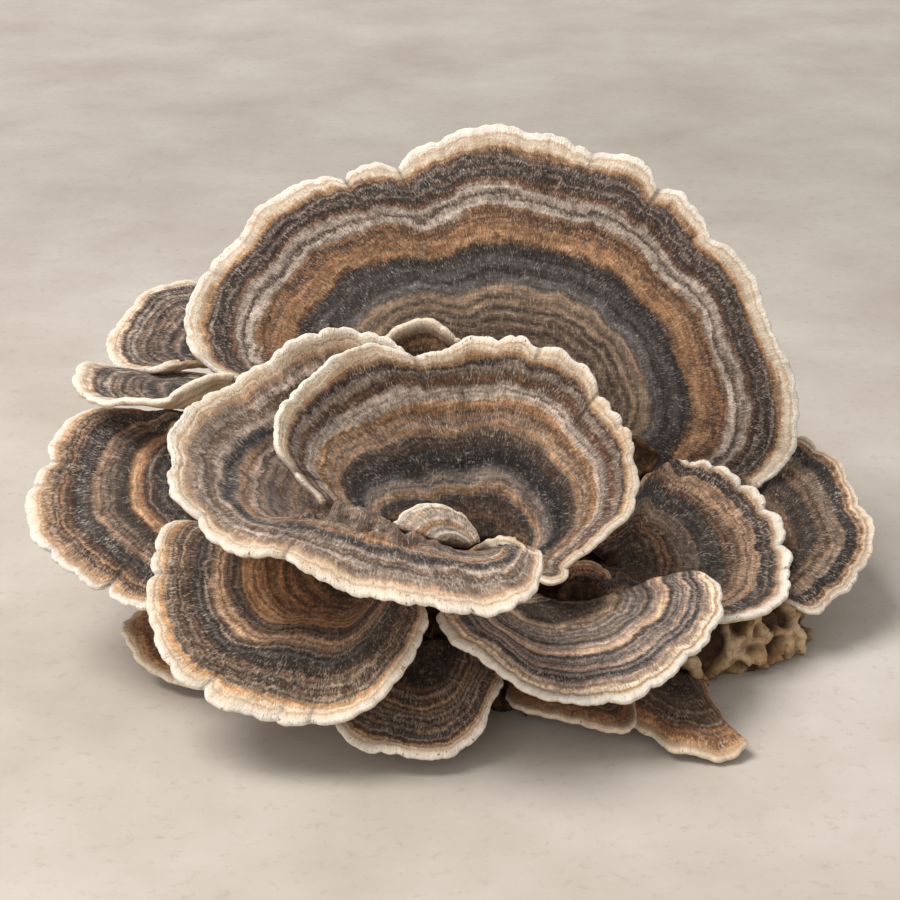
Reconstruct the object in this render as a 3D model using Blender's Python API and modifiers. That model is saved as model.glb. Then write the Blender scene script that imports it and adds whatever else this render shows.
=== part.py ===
"""Turkey tail fungus: a rosette of thin banded caps on one gnarled base, cut off flat underneath.

Every cap is a thin fan that grows out of a heart point. Its rim is a smooth line through a few
points, listed counterclockwise as seen from the cap's upper side. Lengths in the tables are
millimetres, +Z is up and the rosette faces -Y.
"""
import math

import bmesh
import bpy
from mathutils import Vector, noise

MM = 0.001
COLLECTION = "turkey_tail_fungus"

# The tables are written around the root of the cluster. This step brings the middle of the whole
# box over the origin.
CENTRING = Vector((-1.0, 5.5, 0.0))

HEART_THICKNESS = 2.2           # flesh of a large cap where it leaves the base
SMALL_HEART_THICKNESS = 1.6     # the same for a small cap
RIM_THICKNESS = 1.2             # flesh at the margin
THINNING = 1.4                  # how much sooner than the rim the flesh has thinned to that
CLEARANCE = 0.7                 # open space between the base and the caps that stand in it
SEAM = 0.0001                   # points closer than this, in metres, are one point
SHARP_ANGLE = math.radians(50)  # steeper edges stay sharp in the shading
LINE_STEPS = 24                 # steps from point to point where a line's length is measured
GROUND_SIZE = (0.2, 0.2, 0.05)  # block that cuts the base off flat, in metres

BASE_CELL = 2.4                 # size of the base's surface cells before they are thinned out
BASE_KEPT_SHARE = 0.12          # share of those cells that stays
BASE_SWELL = 1.1                # height of the swellings on the base's skin
BASE_SWELL_WIDTH = 7.0          # distance between them

CAP_ROUGHNESS = 0.85            # velvety, without gloss
BASE_ROUGHNESS = 0.9

# Cells of a cap's upper side, along its rim and from heart to rim.
BIG = {"around": 60, "out": 4}
MEDIUM = {"around": 36, "out": 2}
SMALL = {"around": 18, "out": 2}

# The rim is scalloped: a notch stands at every third cell, and the lobe between two notches is round.
LOBE_CELLS = 3
NOTCH_DEPTH = 1.3
NOTCH_SPREAD = 9.0              # distance over which the notches' depth changes

# A cap is a fan: its rim is a smooth line through a few points, from one side edge to the other, and
# its two side edges run back to the heart. belly is how far the middle of a line from heart to rim
# stands above it (or, below zero, under it), as a share of its length. root is half the width over
# which the cap is attached, along X. waist, where a cap has one, is the line halfway between heart
# and rim, point for point like the rim.
CAPS = {
    "cap_back": {
        "heart": (9, 14, 34), "root": 4, "belly": 0.025, "detail": BIG,
        "colour": (0.26, 0.19, 0.14),
        "rim": [
            (52, 11, 20.5), (57, 13, 24), (58.5, 15, 30.5), (58, 18, 36.5), (54.5, 21, 45), (51, 26, 53),
            (44, 29, 58.5), (38, 33, 65), (30, 36, 69.5), (24, 37, 71), (16, 38, 74), (7, 39, 75.5),
            (-1.5, 38, 73.5), (-8.5, 36, 70), (-16.5, 34, 68.5), (-21, 33, 66.5), (-31, 30, 63.5),
            (-37, 27, 58.5), (-42, 23, 54), (-44, 17, 47.5), (-41.5, 12, 43), (-35, 8.5, 41),
        ],
    },
    "cap_centre": {
        "heart": (5, -17, 24), "root": 2, "belly": -0.05, "detail": BIG,
        "colour": (0.21, 0.16, 0.13),
        "rim": [
            (17.5, -27.5, 25), (24.5, -24, 29.5), (27, -22, 31.5), (28.5, -19, 36), (27.5, -15, 41),
            (24, -11, 45.5), (19, -7, 50), (12, -5, 53), (4, -4, 52.5), (-2, -6, 50.5), (-8, -7, 51.5),
            (-15, -9, 52), (-21, -13, 49.5), (-25, -18, 47.5), (-26, -22, 44.5), (-24.5, -25, 41),
            (-20.5, -27, 35),
        ],
    },
    "cap_swirl": {
        "heart": (-1, -22, 16), "root": 0, "belly": 0, "detail": BIG,
        "colour": (0.30, 0.23, 0.18),
        "rim": [
            (-3, -3, 44), (-8.5, -1, 50.5), (-18, 0, 52.5), (-27, -2, 50), (-34, -6, 46.5), (-39, -12, 46),
            (-42, -20, 44), (-42, -29, 41.5), (-37, -39, 38), (-29, -46, 36), (-18, -51, 34),
            (-6, -54, 32.5), (6, -55, 31.5), (11.5, -52.5, 32.5), (12.5, -44, 35),
        ],
        "waist": [
            (-1.5, -10.5, 28), (-5, -8, 30), (-11, -8, 31), (-15, -10, 31), (-18, -13, 30.5),
            (-20, -16, 30.5), (-22, -21, 31), (-22, -26, 32), (-21, -31, 33), (-17, -33, 34), (-12, -34, 34.5),
            (-6, -35, 33), (0, -36, 31.8), (4, -36, 31.3), (5.5, -33, 30),
        ],
    },
    "cap_bud_top": {
        "heart": (-4, 4, 28), "root": 3, "belly": -0.04, "detail": SMALL,
        "colour": (0.33, 0.23, 0.15),
        "rim": [
            (4, 3, 35), (4, 3, 41), (2.5, 3, 47), (0, 3, 50.5), (-4, 4, 52.3), (-8, 3.5, 51.5),
            (-11, 3, 48.5), (-12, 3, 42), (-11, 3, 35),
        ],
    },
    "cap_bud_inner": {
        "heart": (-1.5, -35, 33), "root": 1, "belly": 0.08, "detail": SMALL,
        "colour": (0.45, 0.34, 0.24),
        "rim": [
            (3.5, -35, 33), (2.5, -34, 34.6), (0, -33, 36), (-3.5, -33, 36.8), (-6.5, -34, 36.4),
            (-8.5, -35.5, 35.8),
        ],
    },
    "cap_left": {
        "heart": (-38, -8, 28), "root": 0, "belly": 0.03, "detail": MEDIUM,
        "colour": (0.27, 0.18, 0.12),
        "rim": [
            (-37, 2, 31), (-44, 5, 32.5), (-50, 9, 34.5), (-57, 11, 35), (-62.5, 8, 34), (-66, 3, 32),
            (-68, -5, 29), (-67, -13, 26.5), (-65, -19, 24.5), (-59, -25, 22.5), (-53, -29, 20),
            (-46, -31, 18.5), (-39, -28, 19.5), (-33, -21, 22.5),
        ],
    },
    "cap_left_upper": {
        "heart": (-36, 20, 40), "root": 0, "belly": 0.03, "detail": MEDIUM,
        "colour": (0.27, 0.21, 0.17),
        "rim": [
            (-35, 29, 41), (-38, 37, 43), (-45, 39.5, 46), (-51, 37, 47), (-54.5, 31, 45.5),
            (-57, 25, 43.5), (-57.5, 19, 41.5), (-55, 15.5, 40.3), (-50, 14.5, 40), (-46, 14.5, 41.5),
        ],
    },
    "cap_left_edge": {
        "heart": (-35, 4, 40), "root": 0, "belly": -0.03, "detail": MEDIUM,
        "colour": (0.29, 0.23, 0.19),
        "rim": [
            (-40, 12, 38.5), (-47, 12.5, 39.3), (-54, 12, 40.6), (-59, 10.5, 42), (-61, 6, 42),
            (-59.5, 2, 41), (-56.5, -1, 41), (-51.5, -3, 41.5), (-47, -4, 42), (-43, -2.5, 43.5),
            (-38.5, -1, 45.3), (-34.5, 0, 44.5),
        ],
    },
    "cap_front_left": {
        "heart": (-15, -25, 19), "root": 0, "belly": 0.03, "detail": MEDIUM,
        "colour": (0.25, 0.18, 0.13),
        "rim": [
            (-20, -17, 21.5), (-28, -17, 24.5), (-36, -19, 27.5), (-42, -21, 29.5), (-44.5, -25, 28),
            (-45, -33, 24), (-43.5, -40, 20.5), (-40.5, -46, 16.5), (-35, -49, 13.5), (-24, -51, 10.8),
            (-17, -51, 11.5), (-11, -49.5, 15), (-5.5, -44.5, 19.5), (-3, -39, 22), (-4, -33, 21),
        ],
    },
    "cap_front_low": {
        "heart": (-4, -26, 11), "root": 0, "belly": 0.02, "detail": MEDIUM,
        "colour": (0.22, 0.16, 0.11),
        "rim": [
            (-11, -24, 11), (-16, -29, 10.5), (-18.5, -36, 8.5), (-17, -43, 6.5), (-12, -47.5, 4.8),
            (-4, -49, 3.8), (2, -47, 5.2), (5.5, -43, 8), (8, -36, 10.5), (6, -29, 11.5), (2, -25, 11.3),
        ],
    },
    "cap_front_right": {
        "heart": (19, -24.5, 15.8), "root": 0, "belly": 0.03, "detail": MEDIUM,
        "colour": (0.27, 0.20, 0.15),
        "rim": [
            (13, -21, 16.5), (8, -25, 17), (1, -30, 19), (-1.5, -34, 19.8), (1, -39, 17.8),
            (6, -42.5, 15.5), (12, -46, 13), (18, -47, 12.2), (25, -46.5, 12.3), (31, -43, 13.7), (37, -36.5, 15.5),
            (41.5, -29, 17.2), (42.5, -24, 19), (40, -21.3, 20),
        ],
    },
    "cap_right": {
        "heart": (27, -11, 16.5), "root": 0, "belly": -0.05, "detail": MEDIUM,
        "colour": (0.26, 0.18, 0.13),
        "rim": [
            (28, -18, 14.5), (35, -20.5, 13), (42, -22, 12.3), (47.5, -21.5, 12), (53, -16.5, 13),
            (55.5, -11, 14.3), (56, -6, 17), (53, 0, 21.2), (49, 4, 24), (45, 6, 26), (40, 7, 27),
            (35, 5, 26.7), (31, 1, 25), (27, -2, 23),
        ],
    },
    "cap_far_right": {
        "heart": (48, 0, 14.5), "root": 0, "belly": 0.02, "detail": MEDIUM,
        "colour": (0.27, 0.20, 0.15),
        "rim": [
            (51.5, -9, 11.5), (57.5, -14, 9.3), (61, -12.5, 10), (64.5, -8.5, 11.5), (68.5, -3, 14),
            (70, 2, 16), (69, 9, 18), (67, 17, 21), (64, 21, 22.8), (60.5, 23.5, 24), (52, 19, 19.5),
            (47, 11, 16),
        ],
    },
    "cap_low_left": {
        "heart": (-31, -14, 5), "root": 0, "belly": 0.02, "detail": SMALL,
        "colour": (0.31, 0.21, 0.13),
        "rim": [
            (-32, -8, 6), (-40, -7, 7), (-48, -9, 8), (-52, -12, 8), (-52, -17, 7.5), (-49.5, -21.5, 5.5),
            (-44, -25, 4), (-38, -26, 3.5), (-31, -22, 4),
        ],
    },
    "cap_low_middle": {
        "heart": (20, -25, 5), "root": 0, "belly": 0.02, "detail": SMALL,
        "colour": (0.30, 0.20, 0.12),
        "rim": [
            (12, -23, 4.6), (9, -29, 4.2), (9.5, -33, 4), (12, -35.5, 4), (18, -38, 4.8), (22.5, -41, 4.8),
            (26.5, -42, 4.3), (28, -39, 4.4), (27.5, -31, 4.6), (25, -24, 4.6),
        ],
    },
    "cap_low_right": {
        "heart": (35, -23, 4), "root": 0, "belly": 0.02, "detail": SMALL,
        "colour": (0.30, 0.20, 0.12),
        "rim": [
            (30.5, -25, 3.6), (30, -31, 3.4), (29.8, -37, 3.2), (31.5, -42.5, 2.6), (36, -45, 2.5),
            (41, -45.5, 2.2), (44, -43, 2.2), (43.5, -40, 2.3), (41.5, -32, 2.7), (40, -25, 3.4),
        ],
    },
    "cap_curl": {
        "heart": (21.5, -17.5, 16.2), "root": 1, "belly": 0.05, "detail": SMALL,
        "colour": (0.34, 0.23, 0.15),
        "rim": [
            (25.5, -17.5, 17), (24.5, -16.5, 18.3), (21.5, -15.8, 19.3), (18.5, -16.3, 19),
            (17.5, -17.8, 17.5),
        ],
    },
    "cap_rear_left": {
        "heart": (-15, 15, 20), "root": 0, "belly": 0.03, "detail": MEDIUM,
        "colour": (0.27, 0.20, 0.15),
        "rim": [
            (-10, 18, 20), (-7, 26, 19), (-7, 34, 18), (-11, 40, 17.5), (-18, 42.5, 17.5), (-25, 41, 18.3),
            (-31, 36, 18), (-34.5, 29, 17), (-32, 21, 17.5), (-25, 14, 19),
        ],
    },
    "cap_rear_right": {
        "heart": (25, 13, 14.5), "root": 0, "belly": 0.03, "detail": MEDIUM,
        "colour": (0.26, 0.19, 0.14),
        "rim": [
            (30, 9, 14.7), (37, 14, 14), (43, 21, 13.3), (45, 28, 12.8), (43.5, 36, 12.3), (39, 41.5, 12.4),
            (32, 44, 11.7), (25, 42.5, 11.6), (19, 36.5, 12.3), (17, 28, 13.2), (19, 19, 14.2),
        ],
    },
    "cap_rear_low": {
        "heart": (3, 19, 7.5), "root": 0, "belly": 0.03, "detail": SMALL,
        "colour": (0.29, 0.20, 0.13),
        "rim": [
            (9, 19, 7.4), (14.5, 27, 6.5), (15, 35, 5.3), (10, 41, 4.2), (3, 42.5, 4), (-5, 39.5, 4.6),
            (-9, 32, 5.6), (-7, 24, 6.7), (-3, 18, 7.5),
        ],
    },
}

# The base is one body grown together from rounded lumps: centre and half-widths of each.
BASE_LUMPS = [
    ((4, 0, 7), (30, 22, 15)),
    ((6, 1, 20), (19, 15, 15)),
    ((9, 12, 25), (14, 9, 12)),
    ((-20, -2, 13), (17, 14, 13)),
    ((-31, -5, 21), (9, 9, 10)),
    ((-30, 7, 29), (8, 10, 12)),
    ((-31, 17, 30), (8, 9, 11)),
    ((-14, 10, 12), (14, 12, 11)),
    ((30, -5, 8), (20, 15, 10)),
    ((46, -4, 6), (11, 12, 9)),
    ((2, -18, 7), (17, 12, 10)),
    ((19, -17, 8), (10, 9, 9)),
    ((27, -19, 3), (15, 9, 6)),
    ((45, -13, 3), (9, 6, 5)),
    ((53, -8, 3), (6, 6, 5)),
    ((-23, -11, 4), (13, 9, 7)),
    ((12, 13, 8), (22, 10, 10)),
    ((12, -25, 1.5), (9, 6, 4)),
]
BASE_COLOUR = (0.48, 0.36, 0.24)


def clear_scene():
    """Take away whatever the scene holds."""
    for existing in list(bpy.data.objects):
        bpy.data.objects.remove(existing, do_unlink=True)


def new_collection(name):
    """A collection in the scene."""
    collection = bpy.data.collections.new(name)
    bpy.context.scene.collection.children.link(collection)
    return collection


def skin_material(name, colour, roughness):
    """Matt material in one colour."""
    material = bpy.data.materials.new(name)
    material.use_nodes = True
    shader = material.node_tree.nodes["Principled BSDF"]
    shader.inputs["Base Color"].default_value = (*colour, 1.0)
    shader.inputs["Roughness"].default_value = roughness
    shader.inputs["Metallic"].default_value = 0.0
    material.diffuse_color = (*colour, 1.0)
    return material


def smooth_line(points, place):
    """Point on the smooth line through the points; place counts points from the first."""
    last = len(points) - 1
    first = min(math.floor(place), last - 1)
    part = place - first
    b = points[first]
    c = points[first + 1]
    a = points[first - 1] if first > 0 else 2 * b - c
    d = points[first + 2] if first + 2 <= last else 2 * c - b
    slope = (c - a) * part
    bend = (2 * a - 5 * b + 4 * c - d) * part ** 2
    twist = (3 * b - a - 3 * c + d) * part ** 3
    return 0.5 * (2 * b + slope + bend + twist)


def even_places(points, count):
    """Places that cut the smooth line into equal lengths, its two ends included."""
    steps = LINE_STEPS * (len(points) - 1)
    places = [(len(points) - 1) * i / steps for i in range(steps + 1)]
    line = [smooth_line(points, place) for place in places]
    travelled = [0.0]
    for before, after in zip(line, line[1:]):
        travelled.append(travelled[-1] + (after - before).length)
    chosen = []
    k = 0
    for i in range(count + 1):
        wanted = travelled[-1] * i / count
        while k < steps - 1 and travelled[k + 1] < wanted:
            k += 1
        share = (wanted - travelled[k]) / (travelled[k + 1] - travelled[k])
        chosen.append(places[k] + share * (places[k + 1] - places[k]))
    return chosen


def upper_direction(points):
    """Unit vector out of the upper side of a loop that runs counterclockwise."""
    total = Vector((0.0, 0.0, 0.0))
    for before, after in zip(points, points[1:] + points[:1]):
        total += before.cross(after)
    return total.normalized()


def cap_point(cap, place, share):
    """Point on a cap's upper side, at a share of the way from its heart to its rim."""
    if share == 0.0:
        return cap["heart"]
    rim = smooth_line(cap["rim"], place)
    away = (rim - cap["heart"]).normalized()
    start = cap["heart"] + Vector((cap["root"] * away.x, 0.0, 0.0))
    if "waist" in cap:
        middle = smooth_line(cap["waist"], place)
    else:
        middle = (start + rim) / 2 + cap["upper"] * cap["belly"] * (rim - start).length
    of_start = (1 - share) * (1 - 2 * share)
    of_middle = 4 * share * (1 - share)
    of_rim = share * (2 * share - 1)
    return start * of_start + middle * of_middle + rim * of_rim


def notch(cap, place, step, deepest):
    """Step of the rim back towards the heart, between two lobes of the margin."""
    rim = smooth_line(cap["rim"], place)
    lobe = abs(math.sin(math.pi * step / LOBE_CELLS))
    depth = deepest * (0.5 + 0.5 * noise.noise(rim / NOTCH_SPREAD))
    return (cap["heart"] - rim).normalized() * depth * (1.0 - lobe)


def in_millimetres(table):
    """A cap's table with its points as vectors."""
    cap = dict(table)
    cap["heart"] = Vector(table["heart"])
    cap["rim"] = [Vector(point) for point in table["rim"]]
    if "waist" in table:
        cap["waist"] = [Vector(point) for point in table["waist"]]
    cap["upper"] = upper_direction([cap["heart"]] + cap["rim"])
    return cap


def cap_mesh(name, cap, detail, deepest_notch):
    """The cap's upper side: a grid spread into a fan, one edge of it drawn together at the heart."""
    around = detail["around"]
    out = detail["out"]
    places = even_places(cap["rim"], around)
    shell = bmesh.new()
    bmesh.ops.create_grid(shell, x_segments=around, y_segments=out, size=0.5)
    for vertex in shell.verts:
        step = round((vertex.co.x + 0.5) * around)
        share = round((vertex.co.y + 0.5) * out) / out
        flat = cap_point(cap, places[step], share)
        vertex.co = (flat + notch(cap, places[step], step, deepest_notch) * share ** 2 + CENTRING) * MM
    bmesh.ops.remove_doubles(shell, verts=shell.verts, dist=SEAM)
    bmesh.ops.reverse_faces(shell, faces=shell.faces)
    mesh = bpy.data.meshes.new(name)
    shell.to_mesh(mesh)
    shell.free()
    return mesh


def flesh_weights(cap_object, cap):
    """Vertex group that thins the flesh from the heart towards the rim."""
    group = cap_object.vertex_groups.new(name="flesh")
    heart = (cap["heart"] + CENTRING) * MM
    reach = max((vertex.co - heart).length for vertex in cap_object.data.vertices)
    thinnest = RIM_THICKNESS / heart_thickness(cap)
    for vertex in cap_object.data.vertices:
        share = (vertex.co - heart).length / reach
        group.add([vertex.index], 1.0 + (thinnest - 1.0) * min(1.0, THINNING * share), "REPLACE")


def heart_thickness(cap):
    """Small caps are thinner at the heart than large ones."""
    return SMALL_HEART_THICKNESS if cap["detail"] is SMALL else HEART_THICKNESS


def add_flesh(cap_object, cap):
    """Solid flesh under the upper side."""
    flesh = cap_object.modifiers.new("flesh", "SOLIDIFY")
    flesh.thickness = heart_thickness(cap) * MM
    flesh.offset = -1.0
    flesh.vertex_group = "flesh"


def cap_solid(name, cap, detail, deepest_notch, collection):
    """A cap as a thin solid."""
    mesh = cap_mesh(name, cap, detail, deepest_notch)
    cap_object = bpy.data.objects.new(name, mesh)
    collection.objects.link(cap_object)
    flesh_weights(cap_object, cap)
    add_flesh(cap_object, cap)
    return cap_object


def build_cap(name, table, collection):
    """One cap with its material."""
    cap_object = cap_solid(name, in_millimetres(table), table["detail"], NOTCH_DEPTH, collection)
    mesh = cap_object.data
    mesh.materials.append(skin_material(name + "_skin", table["colour"], CAP_ROUGHNESS))
    mesh.shade_smooth()
    mesh.set_sharp_from_angle(angle=SHARP_ANGLE)
    return cap_object


def hide_as_cutter(cutter):
    """Show a cutter as wires only."""
    cutter.hide_render = True
    cutter.display_type = "WIRE"


def cap_cutter(name, table, collection):
    """The cap again without notches, in fewer cells and swollen by the clearance, to cut the base."""
    fewer = {"around": table["detail"]["around"] // 2, "out": table["detail"]["out"]}
    cutter = cap_solid(name + "_room", in_millimetres(table), fewer, 0.0, collection)
    swelling = cutter.modifiers.new("room", "DISPLACE")
    swelling.strength = CLEARANCE * MM
    swelling.mid_level = 0.0
    cutter.modifiers.new("flat faces", "TRIANGULATE")
    hide_as_cutter(cutter)
    return cutter


def ground_cutter(collection):
    """Block under the ground plane, which cuts the base off flat."""
    cube = bmesh.new()
    bmesh.ops.create_cube(cube, size=1.0)
    bmesh.ops.scale(cube, verts=cube.verts, vec=GROUND_SIZE)
    bmesh.ops.translate(cube, verts=cube.verts, vec=(0.0, 0.0, -GROUND_SIZE[2] / 2))
    mesh = bpy.data.meshes.new("ground_room")
    cube.to_mesh(mesh)
    cube.free()
    cutter = bpy.data.objects.new("ground_room", mesh)
    collection.objects.link(cutter)
    hide_as_cutter(cutter)
    return cutter


def lump_mesh():
    """All of the base's lumps, each a ball stretched to its half-widths."""
    lumps = bmesh.new()
    for centre, half_widths in BASE_LUMPS:
        ball = bmesh.ops.create_icosphere(lumps, subdivisions=3, radius=1.0)["verts"]
        for vertex in ball:
            stretched = Vector(vertex.co[axis] * half_widths[axis] for axis in range(3))
            place = stretched + Vector(centre)
            swell = noise.noise(place / BASE_SWELL_WIDTH) * BASE_SWELL
            vertex.co = (place + vertex.co.normalized() * swell + CENTRING) * MM
    mesh = bpy.data.meshes.new("base")
    lumps.to_mesh(mesh)
    lumps.free()
    return mesh


def cut_by(cut_object, cutter):
    """Boolean difference."""
    cut = cut_object.modifiers.new(cutter.name, "BOOLEAN")
    cut.operation = "DIFFERENCE"
    cut.solver = "EXACT"
    cut.object = cutter


def as_plain_mesh(shaped):
    """Replace an object's mesh and modifiers by the shape that they give."""
    depsgraph = bpy.context.evaluated_depsgraph_get()
    result = bpy.data.meshes.new_from_object(shaped.evaluated_get(depsgraph))
    shaped.modifiers.clear()
    shaped.data = result


def keep_largest_island(mesh):
    """Drop the crumbs that the cuts leave behind."""
    body = bmesh.new()
    body.from_mesh(mesh)
    body.verts.ensure_lookup_table()
    unseen = set(body.verts)
    islands = []
    while unseen:
        island = set()
        front = [unseen.pop()]
        while front:
            vertex = front.pop()
            island.add(vertex)
            for edge in vertex.link_edges:
                other = edge.other_vert(vertex)
                if other in unseen:
                    unseen.discard(other)
                    front.append(other)
        islands.append(island)
    largest = max(islands, key=len)
    crumbs = [vertex for island in islands if island is not largest for vertex in island]
    bmesh.ops.delete(body, geom=crumbs, context="VERTS")
    bmesh.ops.remove_doubles(body, verts=body.verts, dist=SEAM / 10)
    bmesh.ops.dissolve_degenerate(body, edges=body.edges, dist=SEAM / 10)
    body.to_mesh(mesh)
    body.free()


def build_base(collection, cutters):
    """The gnarled base: lumps grown together, cut flat below and hollowed where the caps stand."""
    base = bpy.data.objects.new("base", lump_mesh())
    collection.objects.link(base)
    together = base.modifiers.new("together", "REMESH")
    together.mode = "VOXEL"
    together.voxel_size = BASE_CELL * MM
    thinned = base.modifiers.new("thinned", "DECIMATE")
    thinned.ratio = BASE_KEPT_SHARE
    base.modifiers.new("flat faces", "TRIANGULATE")
    cut_by(base, ground_cutter(cutters))
    as_plain_mesh(base)
    for name, table in CAPS.items():
        cut_by(base, cap_cutter(name, table, cutters))
    as_plain_mesh(base)
    keep_largest_island(base.data)
    base.data.materials.clear()
    base.data.materials.append(skin_material("base_tissue", BASE_COLOUR, BASE_ROUGHNESS))
    base.data.shade_smooth()
    base.data.set_sharp_from_angle(angle=SHARP_ANGLE)
    return base


def main():
    """Build the whole cluster."""
    clear_scene()
    collection = new_collection(COLLECTION)
    cutters = new_collection("cutters")
    for name, table in CAPS.items():
        build_cap(name, table, collection)
    build_base(collection, cutters)


main()
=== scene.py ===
"""Looks of the turkey tail fungus: a rosette of thin banded caps on a gnarled base.

Lengths in the tables are millimetres around the root of the cluster, as in the solids; +Z is up and the
rosette faces -Y. Every cap is a fan between its heart and its rim. Along a cap, u runs from 0 to 1 along the
rim, counterclockwise as seen from the upper side, and growth runs from 0 at the heart to 1 at the margin.
"""
import math

import bpy
import numpy as np
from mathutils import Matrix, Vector


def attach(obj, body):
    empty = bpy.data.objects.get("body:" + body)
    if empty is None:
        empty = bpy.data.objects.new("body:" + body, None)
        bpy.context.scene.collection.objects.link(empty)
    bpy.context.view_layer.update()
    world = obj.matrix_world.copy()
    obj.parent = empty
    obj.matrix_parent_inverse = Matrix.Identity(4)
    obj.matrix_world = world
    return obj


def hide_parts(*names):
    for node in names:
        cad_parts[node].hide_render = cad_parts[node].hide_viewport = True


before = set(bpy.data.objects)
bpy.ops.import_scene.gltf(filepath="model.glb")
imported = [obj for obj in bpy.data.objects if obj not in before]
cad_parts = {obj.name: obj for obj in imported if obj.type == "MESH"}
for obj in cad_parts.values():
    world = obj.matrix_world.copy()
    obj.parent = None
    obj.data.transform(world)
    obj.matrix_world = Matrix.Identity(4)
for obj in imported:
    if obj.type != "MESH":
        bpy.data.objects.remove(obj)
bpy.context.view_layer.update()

MM = 0.001
CENTRING = np.array([-1.0, 5.5, 0.0])

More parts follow.
